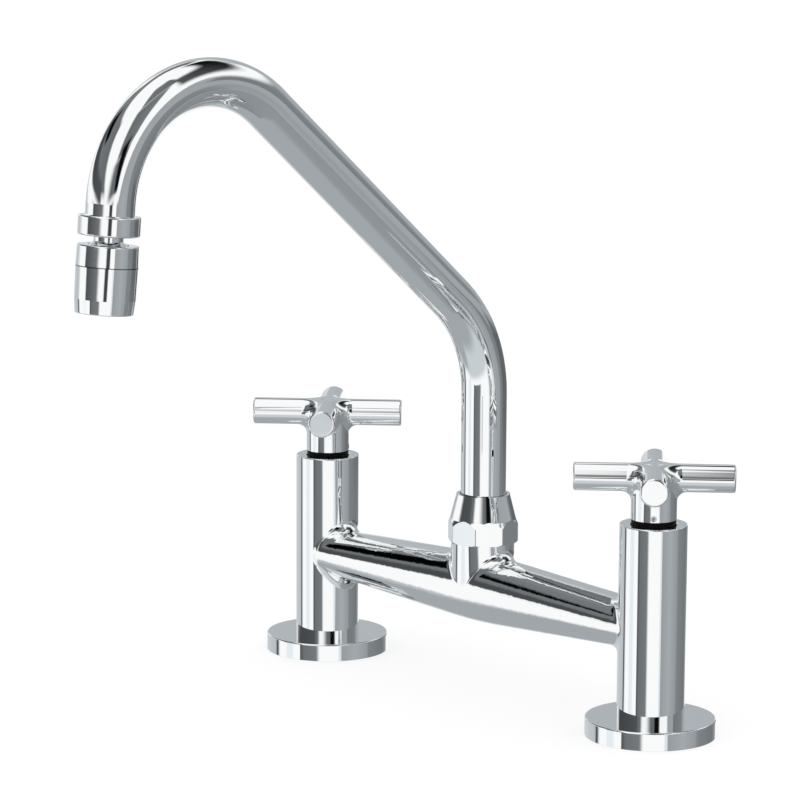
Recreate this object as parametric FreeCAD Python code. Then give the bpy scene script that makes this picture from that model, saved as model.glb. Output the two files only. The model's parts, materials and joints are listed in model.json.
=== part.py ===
import FreeCAD, Part
import math
import os

# Bridge kitchen faucet: two deck-standing valve pillars with cross handles, a tapered bridge
# between them, a bent swivel spout in its middle and a swivelling aerator at the spout's end.
# Millimetres. The origin is at deck level, midway between the pillars. +X runs along the bridge
# from the left (hot) pillar to the right (cold) pillar, -Y is the front, +Z is up.

V = FreeCAD.Vector
X_AXIS = V(1, 0, 0)
Y_AXIS = V(0, 1, 0)
Z_AXIS = V(0, 0, 1)
ORIGIN = V(0, 0, 0)

# Driving dimensions: pillars, flanges and bridge
PILLAR_SPACING = 200.0
PILLAR_RADIUS = 14.0
PILLAR_HEIGHT = 88.4
FLANGE_RADIUS = 27.0
FLANGE_HEIGHT = 7.5
DECK_SEAL_INNER = 16.5
DECK_SEAL_OUTER = 24.0
DECK_SEAL_HEIGHT = 1.6
FLANGE_ROUND = 0.6
PILLAR_ROUND = 0.5
PILLAR_DISH_ROUND = 0.8
BRIDGE_HEIGHT = 44.7
BRIDGE_END_RISE = 10.31
BRIDGE_PEAK_RISE = 15.02
BRIDGE_END_DEPTH = 13.0
BRIDGE_PEAK_DEPTH = 13.9
BRIDGE_CROWN_LENGTH = 30.0
BRIDGE_STATIONS = (-100, -80, -60, -40, -25, -15, -7.5, 0, 7.5, 15, 25, 40, 60, 80, 100)
BRIDGE_OVAL_POINTS = 24
BRIDGE_FLARE = 5.2
BRIDGE_WALL = 3.4
WATERWAY_RADIUS = 6.0

# Bores of a pillar, from the deck up
INLET_RADIUS = 9.3
INLET_DEPTH = 16.0
SEAT_RADIUS = 5.0
SEAT_TOP = 33.0
CHAMBER_RADIUS = 9.0
COLLAR_BOTTOM = 58.0
COLLAR_TOP = 68.0
COLLAR_RADIUS = 9.6

# Valve cartridge
HOUSING_RADIUS = 8.4
HOUSING_BORE = 6.9
HOUSING_BOTTOM = 36.0
HOUSING_CEILING = 52.0
WINDOW_WIDTH = 8.0
HEX_FLATS = 16.0
HEX_TOP = 76.0
DISC_RADIUS = 6.5
FIXED_DISC_BOTTOM = 37.0
DISC_PLANE = 40.5
TURNING_DISC_TOP = 44.0
PORT_INNER = 2.2
PORT_OUTER = 5.8
PORT_SPAN = 76.0
SPINDLE_RADIUS = 4.0
SPINDLE_TOP = 104.0
SPINDLE_FLAT = 3.3
SPINDLE_FLAT_LENGTH = 8.0
SPINDLE_CHAMFER = 0.6
TENON_LENGTH = 9.2
TENON_WIDTH = 3.0
TENON_BOTTOM = TURNING_DISC_TOP - 1.3
SLOT_DEPTH = 2.0
SLOT_PLAY = 0.1
STEM_LIFT = 0.2
STOP_BOTTOM = 48.0
STOP_TOP = 51.7
STOP_RADIUS = 6.4
STOP_PIN_RADIUS = 0.9
STOP_PIN_OFFSET = 5.3
PIN_SINK = 0.5
QUARTER_TURN = 90.0
RING_SECTION = 1.8
GROOVE_SLACK = 0.15
VALVE_RING_GROOVE = CHAMBER_RADIUS - RING_SECTION
VALVE_RING_HEIGHT = 55.2
SPINDLE_RING_SECTION = 1.4
SPINDLE_RING_GROOVE = SPINDLE_RADIUS - SPINDLE_RING_SECTION + 0.02
SPINDLE_RING_HEIGHT = 63.0
GUIDE_LIP_RADIUS = 9.2
GUIDE_LIP_DROP = 1.0
GUIDE_LIP_GAP = 0.2
RUNNING_GAP = 0.05
FREE_GAP = 0.3

# Cross handle
HANDLE_BOTTOM = 90.5
NECK_RADIUS = 9.45
ARM_HEIGHT = 107.5
ARM_RADIUS = 5.85
ARM_LENGTH = 33.0
ARM_END_ROUND = 0.9
ARM_TURN = 43.5
HUB_ROUND = 6.0
HUB_STEP = 0.03
NECK_FLARE = 4.0
GRUB_RADIUS = 1.25
GRUB_HEIGHT = 92.1
GRUB_LENGTH = 4.5
GRUB_KEY = 1.3
GRUB_KEY_DEPTH = 1.6

# Boss, nut and spout
BOSS_RADIUS = 13.65
BOSS_TOP = 65.2
BOSS_FLARE = 4.5
SPIGOT_RADIUS = 11.85
SPIGOT_TOP = 76.0
SOCKET_RADIUS = 9.2
TAIL_BOTTOM = 56.5
TAIL_RADIUS = 9.15
TAIL_BORE = 6.5
TAIL_FLANGE_RADIUS = 11.3
GLIDE_THICKNESS = 1.0
TAIL_FLANGE_BOTTOM = 77.0
TAIL_FLANGE_TOP = 80.0
TAIL_PLUG_LENGTH = 9.0
SPOUT_RING_HEIGHTS = {"lower": 60.0, "upper": 67.0}
SPOUT_RING_GROOVE = TAIL_RADIUS - RING_SECTION
NUT_FLATS = 28.3
NUT_CORNER_RADIUS = 15.25
NUT_FOOT_CHAMFER = 0.7
NUT_CORNER_TOP = 72.8
NUT_CONE_RADIUS = 14.25
NUT_CONE_BOTTOM = 75.2
NUT_RIM_RADIUS = 11.5
NUT_SHOULDER = 81.0
NUT_TOP = 85.8
NUT_TURN = 34.0
TUBE_RADIUS = 9.75
TUBE_WALL = 1.2
RISER_TOP = 129.4
LOWER_BEND = 55.5
LEAN_ANGLE = 49.6
SLOPE_LENGTH = 133.7
UPPER_BEND = 47.9
OUTLET_TILT = 4.9

# Outlet, measured along its own axis from the end collar's upper face
OUTLET_STRAIGHT = 4.6
COLLAR_LENGTH = 7.8
END_COLLAR_RADIUS = 12.3
TUBE_INSERT = 3.6
END_SEAL_BOTTOM = 4.6
STUD_FLANGE_RADIUS = 9.4
STUD_FLANGE_BOTTOM = 6.2
COLLAR_LIP_TOP = 6.3
COLLAR_ROUND = 0.7
STUD_RADIUS = 5.85
STUD_BORE = 3.4
STUD_FLANGE_TOP = 4.7
BALL_RADIUS = 9.0
BALL_CENTRE = 16.8
BALL_CUT = 6.0
CAP_TOP = 11.3
CAP_LIP = BALL_CENTRE - 4.5
CAP_LIP_RADIUS = 7.95
CAP_LIP_FLARE = 0.5
CAP_DRAFT = 0.15
CAP_ROUND = 0.6
CAP_SEAM = 19.7
THREAD_RADIUS = 10.9
THREAD_TOP = BALL_CENTRE + 0.4
AERATOR_RADIUS = 12.25
AERATOR_STEP = 32.4
AERATOR_STEP_RADIUS = 12.05
AERATOR_BOTTOM = 38.0
AERATOR_MOUTH_RADIUS = 11.5
AERATOR_ROUND = 0.4
BALL_SEAL_TOP = BALL_CENTRE + 0.6
BALL_SEAL_INNER = 4.5
BALL_SEAL_OUTER = 9.7
BALL_SEAL_BOTTOM = 26.2
WASHER_BOTTOM = 27.4
WASHER_INNER = 6.5
INSERT_RADIUS = 10.3
SHELL_LIP = 0.8
INSERT_WALL = 1.0
INSERT_FLOOR = 29.4
INSERT_BOTTOM = 36.6
INSERT_HOLES = 10
INSERT_HOLE_RADIUS = 0.8
INSERT_HOLE_CIRCLE = 4.2
MESH_THICKNESS = 0.8
MESH_PITCH = 1.9
MESH_OPENING = 1.3
MESH_RIM = 2.0

OUT = "parts"


def ring(outer, inner, low, high):
    """A tube along Z between two heights."""
    body = Part.makeCylinder(outer, high - low, V(0, 0, low))
    return body.cut(Part.makeCylinder(inner, high - low, V(0, 0, low)))


def turned(points):
    """A solid turned about Z from a closed outline of (radius, height) points."""
    outline = [V(radius, 0, height) for radius, height in points]
    face = Part.Face(Part.makePolygon(outline + outline[:1]))
    return face.revolve(ORIGIN, Z_AXIS, 360)


def sector(inner, outer, low, high, start, span):
    """A block between two radii and two heights that spans an angle from start, in degrees."""
    wedge = Part.makeCylinder(outer, high - low, V(0, 0, low), Z_AXIS, span)
    wedge.rotate(ORIGIN, Z_AXIS, start)
    return wedge.cut(Part.makeCylinder(inner, high - low, V(0, 0, low)))


def prism(sides, flats, low, high, turn):
    """A regular prism along Z, given across its flats, with a corner at the angle turn."""
    corner = flats / 2 / math.cos(math.pi / sides)
    steps = [math.radians(turn + 360.0 * k / sides) for k in range(sides)]
    outline = [V(corner * math.cos(a), corner * math.sin(a), low) for a in steps]
    face = Part.Face(Part.makePolygon(outline + outline[:1]))
    return face.extrude(V(0, 0, high - low))


def o_ring(groove_radius, section, height):
    """A sealing ring that lies in a groove of the given radius."""
    return Part.makeTorus(groove_radius + section / 2, section / 2, V(0, 0, height), Z_AXIS)


def groove(outer, groove_radius, section, height):
    """The cut for a sealing ring in a shaft of the given outer radius."""
    half = section / 2 + GROOVE_SLACK
    return ring(outer + 1, groove_radius, height - half, height + half)


def is_circle(edge, radius, height):
    """True for a circular edge about Z with that radius at that height."""
    box = edge.BoundBox
    flat = abs(box.ZMin - height) < 1e-4 and abs(box.ZMax - height) < 1e-4
    return flat and abs(box.XMax - radius) < 1e-3 and isinstance(edge.Curve, Part.Circle)


def soften(body, size, circles):
    """Rounds the circular edges about Z named by (radius, height)."""
    edges = [e for e in body.Edges if any(is_circle(e, r, z) for r, z in circles)]
    return body.makeFillet(size, edges)


def single(body):
    """The one solid inside the result of a boolean."""
    if len(body.Solids) != 1:
        raise ValueError("expected one solid, found %d" % len(body.Solids))
    return body.Solids[0]


def save(name, body):
    solid = single(body)
    if not solid.isValid():
        raise ValueError(name + " is not a valid solid")
    solid.exportStep(os.path.join(OUT, name + ".step"))


# Deck flanges and pillars


def flange():
    """A round cover plate with a recess underneath for the deck seal."""
    body = soften(ring(FLANGE_RADIUS, PILLAR_RADIUS, 0, FLANGE_HEIGHT), FLANGE_ROUND,
                  [(FLANGE_RADIUS, FLANGE_HEIGHT)])
    return body.cut(deck_seal())


def deck_seal():
    return ring(DECK_SEAL_OUTER, DECK_SEAL_INNER, 0, DECK_SEAL_HEIGHT)


def pillar(toward_bridge):
    """The valve pillar, with its inlet socket, seat, chamber and the port to the bridge."""
    body = turned([
        (INLET_RADIUS, 0),
        (PILLAR_RADIUS, 0),
        (PILLAR_RADIUS, PILLAR_HEIGHT),
        (COLLAR_RADIUS, PILLAR_HEIGHT),
        (COLLAR_RADIUS, COLLAR_BOTTOM),
        (CHAMBER_RADIUS, COLLAR_BOTTOM),
        (CHAMBER_RADIUS, SEAT_TOP),
        (SEAT_RADIUS, SEAT_TOP),
        (SEAT_RADIUS, INLET_DEPTH),
        (INLET_RADIUS, INLET_DEPTH),
    ])
    body = soften(body, PILLAR_ROUND, [(PILLAR_RADIUS, PILLAR_HEIGHT)])
    body = soften(body, PILLAR_DISH_ROUND, [(COLLAR_RADIUS, PILLAR_HEIGHT)])
    port = Part.makeCylinder(WATERWAY_RADIUS, PILLAR_RADIUS + 1, V(0, 0, BRIDGE_HEIGHT),
                             V(toward_bridge, 0, 0))
    return body.cut(port)


# Valve cartridge


def valve_body():
    """The cartridge housing: side windows, threaded collar, hexagon head and spindle bearing."""
    body = turned([
        (HOUSING_BORE, HOUSING_BOTTOM),
        (HOUSING_RADIUS, HOUSING_BOTTOM),
        (HOUSING_RADIUS, COLLAR_BOTTOM),
        (COLLAR_RADIUS, COLLAR_BOTTOM),
        (COLLAR_RADIUS, COLLAR_TOP),
        (SPINDLE_RADIUS + RUNNING_GAP, COLLAR_TOP),
        (SPINDLE_RADIUS + RUNNING_GAP, HOUSING_CEILING),
        (HOUSING_BORE, HOUSING_CEILING),
    ])
    head = prism(6, HEX_FLATS, COLLAR_TOP, HEX_TOP, 0)
    bearing = Part.makeCylinder(SPINDLE_RADIUS + RUNNING_GAP, HEX_TOP, ORIGIN)
    body = body.fuse(head.cut(bearing)).removeSplitter()
    window_low = TURNING_DISC_TOP - 1
    window = Part.makeBox(4 * HOUSING_RADIUS, WINDOW_WIDTH, STOP_BOTTOM - window_low,
                          V(-2 * HOUSING_RADIUS, -WINDOW_WIDTH / 2, window_low))
    pin_low = STOP_BOTTOM + FREE_GAP
    pin = Part.makeCylinder(STOP_PIN_RADIUS, HOUSING_CEILING + PIN_SINK - pin_low,
                            V(0, STOP_PIN_OFFSET, pin_low))
    seal_groove = groove(HOUSING_RADIUS, VALVE_RING_GROOVE, RING_SECTION, VALVE_RING_HEIGHT)
    return body.cut(window).cut(seal_groove).fuse(pin).removeSplitter()


def valve_ring():
    return o_ring(VALVE_RING_GROOVE, RING_SECTION, VALVE_RING_HEIGHT)


def seat_seal():
    """The stepped rubber ring between the valve seat and the fixed disc."""
    return turned([
        (SEAT_RADIUS, SEAT_TOP),
        (HOUSING_RADIUS, SEAT_TOP),
        (HOUSING_RADIUS, HOUSING_BOTTOM),
        (HOUSING_BORE, HOUSING_BOTTOM),
        (HOUSING_BORE, FIXED_DISC_BOTTOM),
        (SEAT_RADIUS, FIXED_DISC_BOTTOM),
    ])


def ports(low, high, start):
    """The two opposite water openings of a ceramic disc."""
    first = sector(PORT_INNER, PORT_OUTER, low, high, start - PORT_SPAN / 2, PORT_SPAN)
    second = sector(PORT_INNER, PORT_OUTER, low, high, start + 180 - PORT_SPAN / 2, PORT_SPAN)
    return first.fuse(second)


def fixed_disc():
    disc = Part.makeCylinder(HOUSING_BORE, DISC_PLANE - FIXED_DISC_BOTTOM,
                             V(0, 0, FIXED_DISC_BOTTOM))
    return disc.cut(ports(FIXED_DISC_BOTTOM, DISC_PLANE, 0))


def turning_disc():
    """The upper ceramic disc, closed at rest, with a slot that the spindle's tenon turns."""
    disc = Part.makeCylinder(DISC_RADIUS, TURNING_DISC_TOP - DISC_PLANE, V(0, 0, DISC_PLANE))
    slot_length = TENON_LENGTH + 2 * SLOT_PLAY
    slot_width = TENON_WIDTH + 2 * SLOT_PLAY
    slot = Part.makeBox(slot_length, slot_width, SLOT_DEPTH,
                        V(-slot_length / 2, -slot_width / 2, TENON_BOTTOM))
    return disc.cut(ports(DISC_PLANE, TURNING_DISC_TOP, 90)).cut(slot)


def spindle(opens, grub_angle):
    """The valve spindle. opens is +1 where it opens anticlockwise and -1 where clockwise."""
    foot = TURNING_DISC_TOP + STEM_LIFT
    tenon = Part.makeBox(TENON_LENGTH, TENON_WIDTH, foot + STEM_LIFT - TENON_BOTTOM,
                         V(-TENON_LENGTH / 2, -TENON_WIDTH / 2, TENON_BOTTOM))
    stem = turned([
        (0, foot),
        (SPINDLE_RADIUS, foot),
        (SPINDLE_RADIUS, STOP_BOTTOM),
        (STOP_RADIUS, STOP_BOTTOM),
        (STOP_RADIUS, STOP_TOP),
        (SPINDLE_RADIUS, STOP_TOP),
        (SPINDLE_RADIUS, SPINDLE_TOP - SPINDLE_CHAMFER),
        (SPINDLE_RADIUS - SPINDLE_CHAMFER, SPINDLE_TOP),
        (0, SPINDLE_TOP),
    ])
    play = math.degrees(math.asin((STOP_PIN_RADIUS + FREE_GAP) / STOP_PIN_OFFSET))
    start = 90 - play - (QUARTER_TURN if opens > 0 else 0)
    notch = sector(SPINDLE_RADIUS, STOP_RADIUS + 1, STOP_BOTTOM - 1, STOP_TOP + 1, start,
                   QUARTER_TURN + 2 * play)
    flat = Part.makeBox(SPINDLE_RADIUS, 2 * SPINDLE_RADIUS, SPINDLE_FLAT_LENGTH,
                        V(SPINDLE_FLAT, -SPINDLE_RADIUS, GRUB_HEIGHT - GRUB_RADIUS - FREE_GAP))
    flat.rotate(ORIGIN, Z_AXIS, grub_angle)
    body = stem.fuse(tenon).removeSplitter().cut(notch).cut(flat)
    return body.cut(groove(SPINDLE_RADIUS, SPINDLE_RING_GROOVE, SPINDLE_RING_SECTION,
                           SPINDLE_RING_HEIGHT))


def spindle_ring():
    return o_ring(SPINDLE_RING_GROOVE, SPINDLE_RING_SECTION, SPINDLE_RING_HEIGHT)


def guide_ring():
    """The black sleeve that fills the pillar's top round the spindle, up to under the handle."""
    shoulder = PILLAR_HEIGHT - GUIDE_LIP_DROP
    body = ring(COLLAR_RADIUS, SPINDLE_RADIUS + RUNNING_GAP, HEX_TOP, shoulder)
    lip = ring(GUIDE_LIP_RADIUS, SPINDLE_RADIUS + RUNNING_GAP, shoulder,
               HANDLE_BOTTOM - GUIDE_LIP_GAP)
    return body.fuse(lip).removeSplitter()


# Cross handle


def arm_pair(angle):
    """One straight bar through the hub, with rounded ends."""
    bar = Part.makeCylinder(ARM_RADIUS, 2 * ARM_LENGTH, V(-ARM_LENGTH, 0, ARM_HEIGHT), X_AXIS)
    ends = [e for e in bar.Edges if isinstance(e.Curve, Part.Circle)]
    bar = bar.makeFillet(ARM_END_ROUND, ends)
    bar.rotate(ORIGIN, Z_AXIS, angle)
    return bar


def hub_corner(quarter):
    """A quarter of a ring that rounds the corner between two neighbouring arms."""
    centre = ARM_RADIUS + HUB_ROUND
    corner = Part.makeTorus(centre, ARM_RADIUS - HUB_STEP, V(centre, centre, ARM_HEIGHT),
                            Z_AXIS, 0, 360, 90)
    corner.rotate(V(centre, centre, 0), Z_AXIS, 180)
    corner.rotate(ORIGIN, Z_AXIS, 90 * quarter)
    return corner


def on_neck(edge):
    """True for an edge where the neck runs into the hub."""
    points = edge.discretize(9)
    on_wall = all(abs(math.hypot(p.x, p.y) - NECK_RADIUS) < 0.02 for p in points)
    return on_wall and edge.BoundBox.ZMin > HANDLE_BOTTOM + 1


def handle(grub_angle):
    """The cast cross handle, bored for the spindle and tapped for its grub screw."""
    corners = [hub_corner(k) for k in range(4)]
    body = arm_pair(0).fuse([arm_pair(90)] + corners).removeSplitter()
    neck = Part.makeCylinder(NECK_RADIUS, ARM_HEIGHT - HANDLE_BOTTOM, V(0, 0, HANDLE_BOTTOM))
    body = body.fuse(neck).removeSplitter()
    body = body.makeFillet(NECK_FLARE, [e for e in body.Edges if on_neck(e)])
    body.rotate(ORIGIN, Z_AXIS, ARM_TURN)
    bore = Part.makeCylinder(SPINDLE_RADIUS, SPINDLE_TOP + FREE_GAP - HANDLE_BOTTOM,
                             V(0, 0, HANDLE_BOTTOM))
    tapping = Part.makeCylinder(GRUB_RADIUS, NECK_RADIUS + 1, V(0, 0, GRUB_HEIGHT), X_AXIS)
    tapping.rotate(ORIGIN, Z_AXIS, grub_angle)
    return body.cut(bore).cut(tapping)


def grub_screw(grub_angle):
    """The socket-headed grub screw that holds the handle on the spindle's flat."""
    screw = Part.makeCylinder(GRUB_RADIUS, GRUB_LENGTH, V(SPINDLE_FLAT, 0, GRUB_HEIGHT), X_AXIS)
    socket = prism(6, GRUB_KEY, 0, 2 * GRUB_KEY_DEPTH, 0)
    socket.rotate(ORIGIN, Y_AXIS, 90)
    socket.translate(V(SPINDLE_FLAT + GRUB_LENGTH - GRUB_KEY_DEPTH, 0, GRUB_HEIGHT))
    screw = screw.cut(socket)
    screw.rotate(ORIGIN, Z_AXIS, grub_angle)
    return screw


# Bridge, boss and nut


def tapered(peak, end, x):
    """A half size of the bridge at x: two straight tapers joined by a parabola at the crown."""
    taper = (peak - end) / (PILLAR_SPACING / 2 - PILLAR_RADIUS)
    half = BRIDGE_CROWN_LENGTH / 2
    if abs(x) >= half:
        return peak - taper * abs(x)
    return peak - taper * (half + x * x / half) / 2


def bridge_section(x, inset):
    """The oval section of the bridge at x, smaller by a wall."""
    rise = tapered(BRIDGE_PEAK_RISE, BRIDGE_END_RISE, x) - inset
    depth = tapered(BRIDGE_PEAK_DEPTH, BRIDGE_END_DEPTH, x) - inset
    turns = [2 * math.pi * k / BRIDGE_OVAL_POINTS for k in range(BRIDGE_OVAL_POINTS)]
    oval = Part.BSplineCurve()
    oval.interpolate([V(x, depth * math.cos(a), BRIDGE_HEIGHT + rise * math.sin(a))
                      for a in turns], PeriodicFlag=True)
    return Part.Wire([oval.toShape()])


def bridge_bar(inset):
    """The bridge as an oval bar between the pillars' centres, thinner by a wall."""
    return Part.makeLoft([bridge_section(x, inset) for x in BRIDGE_STATIONS], True, False)


def touches_cylinder(edge, centre_x, radius):
    """True for an edge that lies on an upright cylinder."""
    points = edge.discretize(9)
    return all(abs(math.hypot(p.x - centre_x, p.y) - radius) < 0.02 for p in points)


def bridge():
    """The oval bridge with its boss, flared into both pillars, and the waterway inside."""
    boss = Part.makeCylinder(BOSS_RADIUS, BOSS_TOP - BRIDGE_HEIGHT, V(0, 0, BRIDGE_HEIGHT))
    body = bridge_bar(0).fuse(boss).removeSplitter()
    rim = [e for e in body.Edges if touches_cylinder(e, 0, BOSS_RADIUS)
           and e.BoundBox.ZMax < BOSS_TOP - 0.5]
    body = body.makeFillet(BOSS_FLARE, rim)
    for side in (-1, 1):
        body = flared_end(body, side * PILLAR_SPACING / 2)
    spigot = Part.makeCylinder(SPIGOT_RADIUS, SPIGOT_TOP - BOSS_TOP, V(0, 0, BOSS_TOP))
    socket = Part.makeCylinder(SOCKET_RADIUS, SPIGOT_TOP - BRIDGE_HEIGHT, V(0, 0, BRIDGE_HEIGHT))
    return body.fuse(spigot).removeSplitter().cut(bridge_bar(BRIDGE_WALL)).cut(socket)


def flared_end(body, centre_x):
    """Rounds the bridge into the wall of one pillar, then cuts the pillar's own space away."""
    column = Part.makeCylinder(PILLAR_RADIUS, PILLAR_HEIGHT, V(centre_x, 0, 0))
    joined = body.fuse(column).removeSplitter()
    seam = [e for e in joined.Edges if touches_cylinder(e, centre_x, PILLAR_RADIUS)
            and 0.5 < e.BoundBox.ZMin and e.BoundBox.ZMax < PILLAR_HEIGHT - 0.5
            and e.BoundBox.ZLength > 1 and e.BoundBox.YLength > 0.1]
    return joined.makeFillet(BRIDGE_FLARE, seam).cut(column)


def spout_nut():
    """The eight-sided nut with a conical top that holds the spout in the boss."""
    outside = turned([
        (SPIGOT_RADIUS, BOSS_TOP),
        (NUT_CORNER_RADIUS - NUT_FOOT_CHAMFER, BOSS_TOP),
        (NUT_CORNER_RADIUS, BOSS_TOP + NUT_FOOT_CHAMFER),
        (NUT_CORNER_RADIUS, NUT_CORNER_TOP),
        (NUT_CONE_RADIUS, NUT_CONE_BOTTOM),
        (NUT_RIM_RADIUS, NUT_TOP),
        (TUBE_RADIUS + FREE_GAP, NUT_TOP),
        (TUBE_RADIUS + FREE_GAP, NUT_SHOULDER),
        (SPIGOT_RADIUS, NUT_SHOULDER),
    ])
    return outside.common(prism(8, NUT_FLATS, 0, 2 * NUT_TOP, NUT_TURN))


def glide_ring(low):
    """A slippery washer on one face of the spout tail's flange."""
    return ring(SPIGOT_RADIUS, TUBE_RADIUS + FREE_GAP, low, low + GLIDE_THICKNESS)


def spout_tailpiece():
    """The turned tail of the spout: two ring grooves, a captive flange and the tube's plug."""
    plug = TUBE_RADIUS - TUBE_WALL
    body = turned([
        (TAIL_BORE, TAIL_BOTTOM),
        (TAIL_RADIUS, TAIL_BOTTOM),
        (TAIL_RADIUS, TAIL_FLANGE_BOTTOM),
        (TAIL_FLANGE_RADIUS, TAIL_FLANGE_BOTTOM),
        (TAIL_FLANGE_RADIUS, TAIL_FLANGE_TOP),
        (plug, TAIL_FLANGE_TOP),
        (plug, TAIL_FLANGE_TOP + TAIL_PLUG_LENGTH),
        (TAIL_BORE, TAIL_FLANGE_TOP + TAIL_PLUG_LENGTH),
    ])
    for height in SPOUT_RING_HEIGHTS.values():
        body = body.cut(groove(TAIL_RADIUS, SPOUT_RING_GROOVE, RING_SECTION, height))
    return body


def spout_ring(height):
    return o_ring(SPOUT_RING_GROOVE, RING_SECTION - 0.02, height)


# Spout tube


def heading(angle):
    """The direction in the spout's plane that leans from straight up towards the front."""
    lean = math.radians(angle)
    return V(0, -math.sin(lean), math.cos(lean))


def bend(start, radius, first, last):
    """An arc edge that leans from the first angle to the last, and its end point."""
    centre = start + heading(first + 90) * radius

    def at(angle):
        return centre - heading(angle + 90) * radius

    return Part.Arc(at(first), at((first + last) / 2), at(last)).toShape(), at(last)


def spout_path():
    """The tube's centreline from the tail's flange to its end, and that end point."""
    foot = V(0, 0, TAIL_FLANGE_TOP)
    knee = V(0, 0, RISER_TOP)
    lower, slope_start = bend(knee, LOWER_BEND, 0, LEAN_ANGLE)
    slope_end = slope_start + heading(LEAN_ANGLE) * SLOPE_LENGTH
    upper, drop = bend(slope_end, UPPER_BEND, LEAN_ANGLE, 180 - OUTLET_TILT)
    tip = drop + heading(180 - OUTLET_TILT) * (OUTLET_STRAIGHT + TUBE_INSERT)
    wire = Part.Wire([
        Part.LineSegment(foot, knee).toShape(), lower,
        Part.LineSegment(slope_start, slope_end).toShape(), upper,
        Part.LineSegment(drop, tip).toShape(),
    ])
    return wire, tip


def swept(radius):
    wire, _ = spout_path()
    circle = Part.Wire(Part.makeCircle(radius, V(0, 0, TAIL_FLANGE_TOP), Z_AXIS))
    return wire.makePipeShell([circle], True, True)


def spout_tube():
    """The bent tube, one wall thickness all the way."""
    return swept(TUBE_RADIUS).cut(swept(TUBE_RADIUS - TUBE_WALL))


# Outlet parts, drawn hanging down from the origin and then set on the tube's end


def hung(points):
    """A solid turned about the outlet's axis from (radius, distance below the collar's top)."""
    return turned([(radius, -depth) for radius, depth in points])


def set_on_outlet(body):
    """Moves a part from the drawing position to its place at the end of the spout."""
    _, tip = spout_path()
    collar_top = tip - heading(180 - OUTLET_TILT) * TUBE_INSERT
    body.rotate(ORIGIN, X_AXIS, -OUTLET_TILT)
    body.translate(collar_top)
    return body


def outlet_collar():
    """The collar nut on the tube's end, with the lip that carries the swivel stud."""
    body = hung([
        (TUBE_RADIUS, 0),
        (END_COLLAR_RADIUS, 0),
        (END_COLLAR_RADIUS, COLLAR_LENGTH),
        (STUD_RADIUS + FREE_GAP, COLLAR_LENGTH),
        (STUD_RADIUS + FREE_GAP, COLLAR_LIP_TOP),
        (TUBE_RADIUS, COLLAR_LIP_TOP),
    ])
    return soften(body, COLLAR_ROUND,
                  [(END_COLLAR_RADIUS, 0), (END_COLLAR_RADIUS, -COLLAR_LENGTH)])


def outlet_seal():
    return hung([
        (TAIL_BORE, TUBE_INSERT),
        (TUBE_RADIUS, TUBE_INSERT),
        (TUBE_RADIUS, END_SEAL_BOTTOM),
        (TAIL_BORE, END_SEAL_BOTTOM),
    ])


def swivel_stud():
    """The hollow stud that hangs in the collar and ends in the ball of the joint."""
    body = hung([
        (0, STUD_FLANGE_TOP),
        (STUD_FLANGE_RADIUS, STUD_FLANGE_TOP),
        (STUD_FLANGE_RADIUS, STUD_FLANGE_BOTTOM),
        (STUD_RADIUS, STUD_FLANGE_BOTTOM),
        (STUD_RADIUS, BALL_CENTRE),
        (0, BALL_CENTRE),
    ])
    ball = Part.makeSphere(BALL_RADIUS, V(0, 0, -BALL_CENTRE))
    below = Part.makeCylinder(BALL_RADIUS, BALL_RADIUS,
                              V(0, 0, -BALL_CENTRE - BALL_CUT - BALL_RADIUS))
    bore = Part.makeCylinder(STUD_BORE, AERATOR_BOTTOM, V(0, 0, -AERATOR_BOTTOM))
    return body.fuse(ball).removeSplitter().cut(below).cut(bore)


def ball_space(radius):
    return Part.makeSphere(radius, V(0, 0, -BALL_CENTRE))


def aerator_cap():
    """The upper half of the aerator, whose inner lip hangs on the ball."""
    body = hung([
        (CAP_LIP_RADIUS, CAP_LIP),
        (CAP_LIP_RADIUS + CAP_LIP_FLARE, CAP_TOP),
        (AERATOR_RADIUS - CAP_DRAFT, CAP_TOP),
        (AERATOR_RADIUS, CAP_SEAM),
        (THREAD_RADIUS, CAP_SEAM),
        (THREAD_RADIUS, THREAD_TOP),
        (CAP_LIP_RADIUS - 1, THREAD_TOP),
        (CAP_LIP_RADIUS - 1, CAP_LIP),
    ])
    body = soften(body, CAP_ROUND, [(AERATOR_RADIUS - CAP_DRAFT, -CAP_TOP)])
    return body.cut(ball_space(BALL_RADIUS + RUNNING_GAP))


def ball_seal():
    """The ring under the ball that gives the joint its grip and keeps it tight."""
    body = hung([
        (BALL_SEAL_INNER, BALL_SEAL_TOP),
        (BALL_SEAL_OUTER, BALL_SEAL_TOP),
        (BALL_SEAL_OUTER, BALL_SEAL_BOTTOM),
        (BALL_SEAL_INNER, BALL_SEAL_BOTTOM),
    ])
    return body.cut(ball_space(BALL_RADIUS + RUNNING_GAP))


def aerator_shell():
    """The lower half: a spigot screwed into the cap, and a sleeve round the insert."""
    lip = INSERT_RADIUS - SHELL_LIP
    body = hung([
        (BALL_SEAL_OUTER, BALL_SEAL_TOP),
        (THREAD_RADIUS, BALL_SEAL_TOP),
        (THREAD_RADIUS, CAP_SEAM),
        (AERATOR_RADIUS, CAP_SEAM),
        (AERATOR_STEP_RADIUS, AERATOR_STEP),
        (AERATOR_MOUTH_RADIUS, AERATOR_BOTTOM),
        (lip, AERATOR_BOTTOM),
        (lip, INSERT_BOTTOM),
        (INSERT_RADIUS, INSERT_BOTTOM),
        (INSERT_RADIUS, BALL_SEAL_BOTTOM),
        (BALL_SEAL_OUTER, BALL_SEAL_BOTTOM),
    ])
    return soften(body, AERATOR_ROUND, [(AERATOR_MOUTH_RADIUS, -AERATOR_BOTTOM)])


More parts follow.
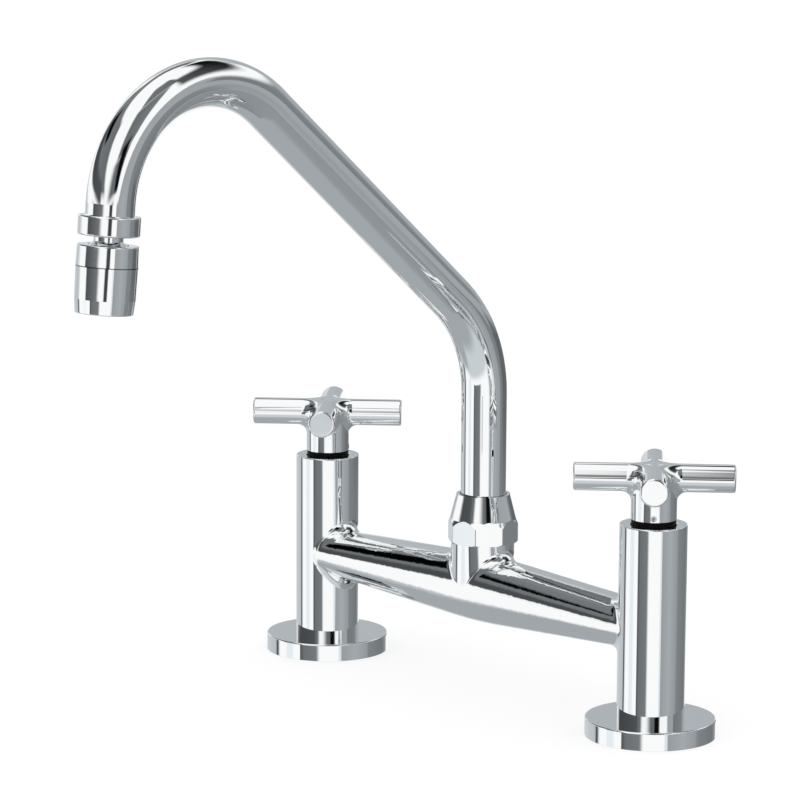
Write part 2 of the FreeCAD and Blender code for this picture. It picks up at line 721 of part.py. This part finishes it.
def aerator_washer():
    return hung([
        (WASHER_INNER, BALL_SEAL_BOTTOM),
        (INSERT_RADIUS, BALL_SEAL_BOTTOM),
        (INSERT_RADIUS, WASHER_BOTTOM),
        (WASHER_INNER, WASHER_BOTTOM),
    ])


def aerator_insert():
    """The plastic cup that mixes air into the water, with a ring of inlet holes on top."""
    mesh_top = INSERT_BOTTOM - MESH_THICKNESS
    body = hung([
        (0, WASHER_BOTTOM),
        (INSERT_RADIUS, WASHER_BOTTOM),
        (INSERT_RADIUS, mesh_top),
        (INSERT_RADIUS - INSERT_WALL, mesh_top),
        (INSERT_RADIUS - INSERT_WALL, INSERT_FLOOR),
        (0, INSERT_FLOOR),
    ])
    for k in range(INSERT_HOLES):
        hole = Part.makeCylinder(INSERT_HOLE_RADIUS, INSERT_BOTTOM - WASHER_BOTTOM,
                                 V(INSERT_HOLE_CIRCLE, 0, -INSERT_BOTTOM))
        hole.rotate(ORIGIN, Z_AXIS, 360.0 * k / INSERT_HOLES)
        body = body.cut(hole)
    return body


def mesh_holes():
    """The square openings that fit inside the rim of the mesh, as (x, y) centres."""
    reach = INSERT_RADIUS - MESH_RIM
    cells = int(reach / MESH_PITCH)
    steps = [MESH_PITCH * k for k in range(-cells, cells + 1)]
    corner = MESH_OPENING / math.sqrt(2)
    return [(x, y) for x in steps for y in steps if math.hypot(x, y) + corner < reach]


def aerator_mesh():
    """The grid that straightens the stream, in the mouth of the insert."""
    disc = Part.makeCylinder(INSERT_RADIUS, MESH_THICKNESS, V(0, 0, -INSERT_BOTTOM))
    half = MESH_OPENING / 2
    holes = [Part.makeBox(MESH_OPENING, MESH_OPENING, 3, V(x - half, y - half, -INSERT_BOTTOM - 1))
             for x, y in mesh_holes()]
    return disc.cut(Part.makeCompound(holes))


# Writing the parts


def side_parts(x, toward_bridge, opens, grub_angle):
    """Every part of one valve pillar, in place, by the name it has without its side."""
    parts = {
        "flange": flange(),
        "deck_seal": deck_seal(),
        "pillar": pillar(toward_bridge),
        "valve_body": valve_body(),
        "valve_ring": valve_ring(),
        "seat_seal": seat_seal(),
        "fixed_disc": fixed_disc(),
        "turning_disc": turning_disc(),
        "spindle": spindle(opens, grub_angle),
        "spindle_ring": spindle_ring(),
        "guide_ring": guide_ring(),
        "handle": handle(grub_angle),
        "grub_screw": grub_screw(grub_angle),
    }
    for body in parts.values():
        body.translate(V(x, 0, 0))
    return parts


def outlet_parts():
    parts = {
        "outlet_collar": outlet_collar(),
        "outlet_seal": outlet_seal(),
        "swivel_stud": swivel_stud(),
        "aerator_cap": aerator_cap(),
        "ball_seal": ball_seal(),
        "aerator_shell": aerator_shell(),
        "aerator_washer": aerator_washer(),
        "aerator_insert": aerator_insert(),
        "aerator_mesh": aerator_mesh(),
    }
    return {name: set_on_outlet(body) for name, body in parts.items()}


def middle_parts():
    parts = {
        "bridge": bridge(),
        "spout_nut": spout_nut(),
        "lower_glide_ring": glide_ring(SPIGOT_TOP),
        "upper_glide_ring": glide_ring(TAIL_FLANGE_TOP),
        "spout_tailpiece": spout_tailpiece(),
        "spout_tube": spout_tube(),
    }
    for place, height in SPOUT_RING_HEIGHTS.items():
        parts[place + "_spout_ring"] = spout_ring(height)
    return parts


def main():
    os.makedirs(OUT, exist_ok=True)
    half = PILLAR_SPACING / 2
    for name, body in side_parts(-half, 1, 1, ARM_TURN).items():
        save("left_" + name, body)
    for name, body in side_parts(half, -1, -1, ARM_TURN - 90).items():
        save("right_" + name, body)
    for name, body in middle_parts().items():
        save(name, body)
    for name, body in outlet_parts().items():
        save(name, body)


main()
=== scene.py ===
import bpy
import json
import math
from mathutils import Matrix, Vector


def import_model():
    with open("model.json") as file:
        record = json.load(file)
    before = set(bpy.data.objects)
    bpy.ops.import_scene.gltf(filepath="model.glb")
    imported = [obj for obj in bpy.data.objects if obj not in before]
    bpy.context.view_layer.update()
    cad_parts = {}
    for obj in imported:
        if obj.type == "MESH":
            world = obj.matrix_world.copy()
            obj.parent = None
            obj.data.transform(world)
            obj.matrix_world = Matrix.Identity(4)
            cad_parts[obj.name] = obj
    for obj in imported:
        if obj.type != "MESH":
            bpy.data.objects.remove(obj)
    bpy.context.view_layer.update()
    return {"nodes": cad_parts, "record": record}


# A chrome bridge kitchen faucet in a white studio. Metres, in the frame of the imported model:
# +X from the left to the right pillar, -Y to the front, +Z up, deck level at Z = 0.

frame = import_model()

MM = 0.001

# Camera, at the photograph's viewing angle: place in metres, angles in degrees, lens in mm
CAMERA_PLACE = (1.1301, -1.0894, 0.4032)
CAMERA_YAW = 47.355
CAMERA_PITCH = 10.023
CAMERA_ROLL = 0.298
LENS = 168.97
SENSOR = 36.0
NEAREST = 0.1
FARTHEST = 100.0

# Floor and world. The floor shows its own white and, in FLOOR_SHADE_SHARE, the light and shadow
# that fall on it. WORLD_FILL is how strongly the world lights matt surfaces.
FLOOR_SIZE = 30.0
FLOOR_DROP = 0.2 * MM
FLOOR_COLOR = (0.95, 0.95, 0.95, 1.0)
FLOOR_SHADE_SHARE = 0.25
WORLD_FILL = 0.95
WHITE = (1.0, 1.0, 1.0, 1.0)

# Suns: azimuth from the camera's side, elevation, angular size (degrees) and strength
KEY_SUN = (-50.0, 50.0, 60.0, 0.5)
TOP_SUN = (60.0, 75.0, 90.0, 0.4)

# Screens: grey sheets on spheres around the faucet, each SCREEN_GAP inside the one before.
# Their points lie about SCREEN_STEP degrees apart, and FADE_STEPS rows of them fade an edge in.
# SCREEN_TINT is the cool cast of the greys, and CHROME_SHARE what chrome reflects of a screen.
STUDIO_CENTRE = Vector((0.0, -0.06, 0.12))
STUDIO_RADIUS = 5.0
SCREEN_GAP = 0.05
SCREEN_STEP = 3.0
FADE_STEPS = 4
SCREEN_TINT = (0.93, 1.0, 1.045, 1.0)
CHROME_SHARE = 0.955
GREY_MAX = 255
SRGB_OFFSET = 0.055
SRGB_POWER = 2.4

# Chrome, and the thin shadow in the seam between the aerator's cap and shell, which lies
# SEAM_BELOW_BALL under the centre of the aerator's ball joint
CHROME_COLOR = (0.945, 0.955, 0.96, 1.0)
CAST_PARTS = ("bridge", "left_handle", "right_handle")
SEAMED_PARTS = ("aerator_cap", "aerator_shell")
SEAM_COLOR = (0.14, 0.14, 0.14, 1.0)
SEAM_DARK = 0.1 * MM
SEAM_EDGE = 0.3 * MM
SEAM_BELOW_BALL = 2.9 * MM

# The part of a noise texture's range that holds nearly all of its values
NOISE_LOW = 0.3
NOISE_HIGH = 0.7


# Node helpers


def new_material(name):
    """A material with its node tree and its main shader."""
    material = bpy.data.materials.new(name)
    material.use_nodes = True
    tree = material.node_tree
    shader = tree.nodes["Principled BSDF"]
    return material, tree, shader


def link(tree, source, output, target, socket):
    tree.links.new(source.outputs[output], target.inputs[socket])


def object_point(tree):
    """Texture coordinates in metres, fixed to the piece."""
    return tree.nodes.new("ShaderNodeTexCoord")


def math_node(tree, operation):
    node = tree.nodes.new("ShaderNodeMath")
    node.operation = operation
    return node


def noise(tree, point, scale, detail):
    node = tree.nodes.new("ShaderNodeTexNoise")
    node.inputs["Scale"].default_value = scale
    node.inputs["Detail"].default_value = detail
    link(tree, point, "Object", node, "Vector")
    return node


def uneven_gloss(tree, point, shader, scale, detail, roughness):
    """Lets the shader's roughness wander between the two values of roughness."""
    node = tree.nodes.new("ShaderNodeMapRange")
    node.inputs["From Min"].default_value = NOISE_LOW
    node.inputs["From Max"].default_value = NOISE_HIGH
    node.inputs["To Min"].default_value = roughness[0]
    node.inputs["To Max"].default_value = roughness[1]
    link(tree, noise(tree, point, scale, detail), "Fac", node, "Value")
    link(tree, node, "Result", shader, "Roughness")


def two_tones(tree, source, output, shader, first, last):
    """Mixes two colours by a texture and gives them to the shader."""
    tone = tree.nodes.new("ShaderNodeMix")
    tone.data_type = "RGBA"
    tone.inputs["A"].default_value = first
    tone.inputs["B"].default_value = last
    link(tree, source, output, tone, "Factor")
    link(tree, tone, "Result", shader, "Base Color")


def bump(tree, texture, shader, strength, depth):
    node = tree.nodes.new("ShaderNodeBump")
    node.inputs["Strength"].default_value = strength
    node.inputs["Distance"].default_value = depth
    link(tree, texture, "Fac", node, "Height")
    link(tree, node, "Normal", shader, "Normal")


def shade_of(color, share):
    """A colour darkened or lightened to a share of itself, with full opacity."""
    return (*[channel * share for channel in color], 1.0)


# Materials


def chrome(name, wave_scale, roughness):
    """Polished chrome plate: faint waves left by polishing and a trace of haze."""
    material, tree, shader = new_material(name)
    shader.inputs["Base Color"].default_value = CHROME_COLOR
    shader.inputs["Metallic"].default_value = 1.0
    point = object_point(tree)
    uneven_gloss(tree, point, shader, scale=90.0, detail=4.0, roughness=roughness)
    waves = noise(tree, point, wave_scale, detail=1.0)
    bump(tree, waves, shader, strength=1.0, depth=0.012 * MM)
    return material


def cast_chrome():
    return chrome("cast_chrome", wave_scale=55.0, roughness=(0.02, 0.045))


def turned_chrome(name="turned_chrome"):
    return chrome(name, wave_scale=30.0, roughness=(0.015, 0.035))


def seamed_chrome():
    """Turned chrome with the seam's dark line around the outlet's axis."""
    joints = {row["name"]: row for row in frame["record"]["behaviour"]["joints"]}
    axis = Vector(joints["outlet_spin"]["axis"])
    ball = Vector(joints["outlet_tilt"]["pos_m"])
    material = turned_chrome("seamed_chrome")
    tree = material.node_tree
    along = tree.nodes.new("ShaderNodeVectorMath")
    along.operation = "DOT_PRODUCT"
    along.inputs[1].default_value = axis
    link(tree, object_point(tree), "Object", along, 0)
    offset = math_node(tree, "SUBTRACT")
    offset.inputs[1].default_value = axis.dot(ball) + SEAM_BELOW_BALL
    link(tree, along, "Value", offset, 0)
    distance = math_node(tree, "ABSOLUTE")
    link(tree, offset, "Value", distance, 0)
    line = tree.nodes.new("ShaderNodeMapRange")
    line.inputs["From Min"].default_value = SEAM_DARK
    line.inputs["From Max"].default_value = SEAM_EDGE
    link(tree, distance, "Value", line, "Value")
    shader = tree.nodes["Principled BSDF"]
    two_tones(tree, line, "Result", shader, SEAM_COLOR, CHROME_COLOR)
    return material


def rubber(name, color):
    """Moulded black rubber with a fine matt grain."""
    material, tree, shader = new_material(name)
    shader.inputs["Roughness"].default_value = 0.6
    point = object_point(tree)
    cloud = noise(tree, point, scale=300.0, detail=3.0)
    dark = shade_of(color, 0.8)
    light = shade_of(color, 1.3)
    two_tones(tree, cloud, "Fac", shader, dark, light)
    grain = noise(tree, point, scale=2500.0, detail=2.0)
    bump(tree, grain, shader, strength=0.4, depth=0.03 * MM)
    return material


def machined(name, color, roughness):
    """Turned metal: fine rings from the lathe and a little tarnish."""
    material, tree, shader = new_material(name)
    shader.inputs["Metallic"].default_value = 1.0
    point = object_point(tree)
    cloud = noise(tree, point, scale=120.0, detail=4.0)
    tarnished = shade_of(color, 0.82)
    clean = shade_of(color, 1.0)
    two_tones(tree, cloud, "Fac", shader, tarnished, clean)
    uneven_gloss(tree, point, shader, scale=400.0, detail=3.0, roughness=roughness)
    rings = tree.nodes.new("ShaderNodeTexWave")
    rings.bands_direction = "Z"
    rings.inputs["Scale"].default_value = 1200.0
    rings.inputs["Distortion"].default_value = 0.6
    link(tree, point, "Object", rings, "Vector")
    bump(tree, rings, shader, strength=0.3, depth=0.01 * MM)
    return material


def smooth_solid(name, color, roughness, shine=0.5):
    """A moulded or fired part: even colour, soft mottling and a satin surface."""
    material, tree, shader = new_material(name)
    shader.inputs["Specular IOR Level"].default_value = shine
    point = object_point(tree)
    cloud = noise(tree, point, scale=200.0, detail=3.0)
    mottle = shade_of(color, 0.93)
    plain = shade_of(color, 1.0)
    two_tones(tree, cloud, "Fac", shader, mottle, plain)
    uneven_gloss(tree, point, shader, scale=500.0, detail=2.0, roughness=roughness)
    grain = noise(tree, point, scale=1800.0, detail=2.0)
    bump(tree, grain, shader, strength=0.25, depth=0.02 * MM)
    return material


def make_looks():
    black = (0.004, 0.004, 0.004)
    return {
        "cast_chrome": cast_chrome(),
        "turned_chrome": turned_chrome(),
        "seamed_chrome": seamed_chrome(),
        "black_rubber": rubber("black_rubber_look", (0.022, 0.022, 0.023)),
        "black_plastic": smooth_solid("black_plastic_look", black, (0.4, 0.5), shine=0.08),
        "white_plastic": smooth_solid("white_plastic_look", (0.80, 0.80, 0.77), (0.3, 0.45)),
        "ceramic": smooth_solid("ceramic_look", (0.86, 0.85, 0.80), (0.12, 0.22)),
        "brass": machined("brass_look", (0.80, 0.58, 0.27), (0.22, 0.36)),
        "steel": machined("steel_look", (0.83, 0.83, 0.84), (0.2, 0.35)),
    }


def chrome_look(name):
    """Which of the three kinds of chrome a chromed node has."""
    if name in CAST_PARTS:
        return "cast_chrome"
    if name in SEAMED_PARTS:
        return "seamed_chrome"
    return "turned_chrome"


def dress_nodes():
    """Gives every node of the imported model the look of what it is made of."""
    looks = make_looks()
    slots = {row["node"]: row["material_slot"] for row in frame["record"]["subparts"]}
    for name, node in frame["nodes"].items():
        look = slots[name]
        if look == "polished_chrome":
            look = chrome_look(name)
        for place in node.material_slots:
            place.material = looks[look]


# Studio


def camera():
    data = bpy.data.cameras.new("camera")
    data.lens = LENS
    data.sensor_width = SENSOR
    data.clip_start = NEAREST
    data.clip_end = FARTHEST
    eye = bpy.data.objects.new("camera", data)
    turn = Matrix.Rotation(math.radians(CAMERA_YAW), 4, "Z")
    tip = Matrix.Rotation(math.radians(90.0 - CAMERA_PITCH), 4, "X")
    roll = Matrix.Rotation(math.radians(CAMERA_ROLL), 4, "Z")
    eye.matrix_world = Matrix.Translation(CAMERA_PLACE) @ turn @ tip @ roll
    bpy.context.scene.collection.objects.link(eye)
    bpy.context.scene.camera = eye


def seen_rays(tree):
    """1 for the rays that should meet the white background: camera, glossy and transmission."""
    path = tree.nodes.new("ShaderNodeLightPath")
    first = math_node(tree, "MAXIMUM")
    link(tree, path, "Is Camera Ray", first, 0)
    link(tree, path, "Is Glossy Ray", first, 1)
    every = math_node(tree, "MAXIMUM")
    link(tree, first, "Value", every, 0)
    link(tree, path, "Is Transmission Ray", every, 1)
    return every


def world():
    """A white world that lights the matt surfaces a little less than it shows."""
    scene_world = bpy.data.worlds.new("studio")
    scene_world.use_nodes = True
    bpy.context.scene.world = scene_world
    tree = scene_world.node_tree
    background = tree.nodes["Background"]
    background.inputs["Color"].default_value = WHITE
    level = tree.nodes.new("ShaderNodeMapRange")
    level.inputs["To Min"].default_value = WORLD_FILL
    level.inputs["To Max"].default_value = 1.0
    link(tree, seen_rays(tree), "Value", level, "Value")
    link(tree, level, "Result", background, "Strength")


def floor_material():
    """Mostly its own white, with a share that the object's shadow darkens."""
    material, tree, shader = new_material("floor")
    tree.nodes.remove(shader)
    shaded = tree.nodes.new("ShaderNodeBsdfDiffuse")
    shaded.inputs["Color"].default_value = FLOOR_COLOR
    own = tree.nodes.new("ShaderNodeEmission")
    link(tree, seen_rays(tree), "Value", own, "Strength")
    blend = tree.nodes.new("ShaderNodeMixShader")
    blend.inputs["Fac"].default_value = FLOOR_SHADE_SHARE
    link(tree, own, "Emission", blend, 1)
    link(tree, shaded, "BSDF", blend, 2)
    link(tree, blend, "Shader", tree.nodes["Material Output"], "Surface")
    return material


def floor():
    mesh = bpy.data.meshes.new("floor")
    half = FLOOR_SIZE / 2
    corners = [(-half, -half, 0), (half, -half, 0), (half, half, 0), (-half, half, 0)]
    mesh.from_pydata(corners, [], [(0, 1, 2, 3)])
    mesh.materials.append(floor_material())
    plane = bpy.data.objects.new("floor", mesh)
    plane.location.z = -FLOOR_DROP
    bpy.context.scene.collection.objects.link(plane)
    plane.visible_glossy = False


def toward(azimuth, elevation):
    """The direction at an azimuth to the right of the camera's side and an elevation."""
    turn = math.radians(CAMERA_YAW + azimuth)
    lift = math.radians(elevation)
    level = math.cos(lift)
    return Vector((math.sin(turn) * level, -math.cos(turn) * level, math.sin(lift)))


def sun(name, azimuth, elevation, spread_angle, strength):
    """A very soft light that isn't seen in the chrome."""
    data = bpy.data.lights.new(name, "SUN")
    data.angle = math.radians(spread_angle)
    data.energy = strength
    light = bpy.data.objects.new(name, data)
    light.rotation_euler = toward(azimuth, elevation).to_track_quat("Z", "Y").to_euler()
    light.visible_glossy = False
    bpy.context.scene.collection.objects.link(light)


def smooth(t):
    """Rises from 0 to 1 with level ends."""
    return t * t * (3 - 2 * t)


def mix(first, last, t):
    return first + (last - first) * t


def glow(grey):
    """The strength at which a screen shows in the chrome as an sRGB grey up to GREY_MAX."""
    shown = (grey / GREY_MAX + SRGB_OFFSET) / (1 + SRGB_OFFSET)
    return shown ** SRGB_POWER / CHROME_SHARE


def ramp(length, fades):
    """(share of the length, weight) steps across a screen whose two edges fade in."""
    low, high = fades
    inner = length - low - high
    steps = max(1, math.ceil(inner / SCREEN_STEP))
    fade = [k / FADE_STEPS for k in range(FADE_STEPS + 1)]
    rows = [(low * t, smooth(t)) for t in fade]
    rows += [(low + inner * k / steps, 1.0) for k in range(1, steps + 1)]
    rows += [(length - high + high * t, smooth(1 - t)) for t in fade[1:]]
    return [(place / length, weight) for place, weight in rows]


def screen_material():
    """Gives each point of a screen its own brightness, and lets its edges fade out."""
    material, tree, shader = new_material("screens")
    tree.nodes.remove(shader)
    shade = tree.nodes.new("ShaderNodeAttribute")
    shade.attribute_name = "shade"
    weight = tree.nodes.new("ShaderNodeAttribute")
    weight.attribute_name = "weight"
    light = tree.nodes.new("ShaderNodeEmission")
    light.inputs["Color"].default_value = SCREEN_TINT
    clear = tree.nodes.new("ShaderNodeBsdfTransparent")
    blend = tree.nodes.new("ShaderNodeMixShader")
    link(tree, shade, "Fac", light, "Strength")
    link(tree, weight, "Fac", blend, "Fac")
    link(tree, clear, "BSDF", blend, 1)
    link(tree, light, "Emission", blend, 2)
    link(tree, blend, "Shader", tree.nodes["Material Output"], "Surface")
    return material


def between(corners, u, v):
    """The (azimuth, elevation) at u across and v up a screen with the given corners."""
    low_left, low_right, high_right, high_left = corners
    low = [mix(low_left[k], low_right[k], u) for k in (0, 1)]
    high = [mix(high_left[k], high_right[k], u) for k in (0, 1)]
    return [mix(low[k], high[k], v) for k in (0, 1)]


def grid_faces(columns, rows):
    """The quads between the points of a grid that is numbered row by row."""
    faces = []
    for row in range(rows - 1):
        for column in range(columns - 1):
            corner = row * columns + column
            faces.append((corner, corner + 1, corner + columns + 1, corner + columns))
    return faces


def screen(index, material, name, corners, greys, sides, ends):
    """A grey studio screen on a large sphere, seen only in the chrome."""
    low_left, low_right, high_right, high_left = corners
    radius = STUDIO_RADIUS - SCREEN_GAP * index
    width = (low_right[0] - low_left[0] + high_right[0] - high_left[0]) / 2
    height = (high_left[1] - low_left[1] + high_right[1] - low_right[1]) / 2
    across = ramp(width, sides)
    up = ramp(height, ends)
    points = []
    weights = []
    shades = []
    for v, up_weight in up:
        for u, across_weight in across:
            points.append(STUDIO_CENTRE + toward(*between(corners, u, v)) * radius)
            weights.append(across_weight * up_weight)
            shades.append(glow(mix(greys[0], greys[1], u)))
    mesh = bpy.data.meshes.new(name)
    mesh.from_pydata(points, [], grid_faces(len(across), len(up)))
    for title, values in (("weight", weights), ("shade", shades)):
        attribute = mesh.attributes.new(title, "FLOAT", "POINT")
        attribute.data.foreach_set("value", values)
    mesh.materials.append(material)
    sheet = bpy.data.objects.new(name, mesh)
    bpy.context.scene.collection.objects.link(sheet)
    sheet.visible_camera = False
    sheet.visible_diffuse = False
    sheet.visible_shadow = False


# The screens, from the farthest to the nearest. Corners are (azimuth from the camera's side,
# elevation) in the order low left, low right, high right, high left. The two greys are those
# of the left and right edge, and the fades, in degrees, are (left, right) and (low, high).
SCREENS = [
    ("deck", ((-181, -90), (181, -90), (181, -25), (-181, -25)), (166, 166), (0.1, 0.1), (0.1, 9)),
    ("deck_front", ((-95, -60), (45, -60), (38, -21), (-85, -21)), (205, 205), (20, 15), (16, 8)),
    ("deck_right", ((30, -90), (165, -90), (150, -20), (42, -18)), (150, 132), (14, 14), (0.1, 5)),
    ("left_back", ((-181, -36), (-98, -36), (-104, -1), (-181, 8)), (214, 184), (0.1, 7), (6, 5)),
    ("left_line", ((-117, -32), (-106, -32), (-106, -5), (-117, -5)), (80, 80), (4, 4), (6, 2)),
    ("left_veil", ((-88, -26), (-66, -26), (-68, -8), (-88, -8)), (236, 236), (5, 5), (4, 2)),
    ("left_cloud", ((-152, 9), (-21, 5), (-61, 56), (-152, 56)), (125, 105), (8, 10), (5, 5)),
    ("left_high", ((-181, 36), (-124, 38), (-120, 56), (-181, 56)), (105, 130), (0.1, 8), (5, 4)),
    ("left_core", ((-142, 10), (-38, 2), (-44, 18), (-142, 32)), (66, 82), (8, 9), (4, 7)),
    ("left_black", ((-138, 23), (-97, 29), (-93, 38), (-126, 46)), (2, 2), (6, 4), (4, 5)),
    ("block", ((-54, -20), (-12, -20), (-17, -6), (-56, -6)), (108, 124), (2, 8), (1.5, 0.5)),
    ("block_edge", ((-54, -20), (-45, -20), (-46, -6), (-56, -6)), (84, 104), (1, 5), (1.5, 0.5)),
    ("block_high", ((-58, -7.5), (-18, -7.5), (-24, 5), (-96, 5)), (72, 125), (6, 12), (0.5, 2)),
    ("front_low", ((-22, 3), (26, 3), (38, 27), (-16, 27)), (100, 110), (20, 5), (3, 5)),
    ("front_grey", ((-5, 22), (38, 22), (64, 62), (-5, 62)), (104, 122), (8, 6), (5, 6)),
    ("front_high", ((2, 56), (66, 56), (90, 86), (2, 86)), (118, 104), (6, 8), (6, 8)),
    ("front_black", ((10, 4), (27, 4), (29, 34), (4, 34)), (12, 12), (6, 4), (3, 6)),
    ("front_foot", ((-12, -9), (4, -9), (17, 4), (-3, 4)), (66, 66), (5, 4), (3, 2.5)),
    ("front_chip", ((-13, -11.2), (-6, -11.2), (-6, -8), (-13, -8)), (203, 203), (1, 0.6), (0.15, 1)),
    ("right_veil", ((21, -26), (34, -26), (34, -3), (21, -3)), (230, 220), (3, 1), (4, 2)),
    ("right_wall", ((27, -24), (62, -24), (62, 1), (27, 1)), (154, 172), (2, 1), (4, 1.5)),
    ("right_turn", ((55, -24), (90, -24), (90, 3), (55, 3)), (170, 147), (5, 2), (4, 2)),
    ("right_dark", ((81, -24), (146, -24), (146, 8), (81, 4)), (133, 112), (6, 10), (4, 2)),
    ("right_end", ((130, -22), (156, -22), (156, 6), (130, 6)), (118, 165), (8, 8), (4, 3)),
    ("right_high", ((30, -2), (160, -2), (160, 31), (80, 30)), (160, 168), (5, 8), (1.5, 8)),
    ("right_shadow", ((76, 11), (138, 4), (140, 28), (80, 22)), (118, 134), (4, 16), (3, 4)),
    ("right_streak", ((100, -12), (158, -13), (158, 3), (108, 7)), (96, 104), (9, 6), (3, 5)),
    ("right_line", ((146, -15), (155, -15), (155, -6), (146, -6)), (60, 60), (3, 3), (2, 2)),
    ("back", ((140, 3), (206, 3), (206, 38), (150, 44)), (165, 190), (10, 10), (3, 6)),
    ("roof", ((64, 33), (174, 39), (184, 66), (60, 74)), (88, 4), (6, 8), (11, 9)),
]


def studio():
    camera()
    world()
    floor()
    sun("key", *KEY_SUN)
    sun("top", *TOP_SUN)
    material = screen_material()
    for index, row in enumerate(SCREENS):
        screen(index, material, *row)
    bpy.context.scene.view_settings.view_transform = "Standard"


dress_nodes()
studio()
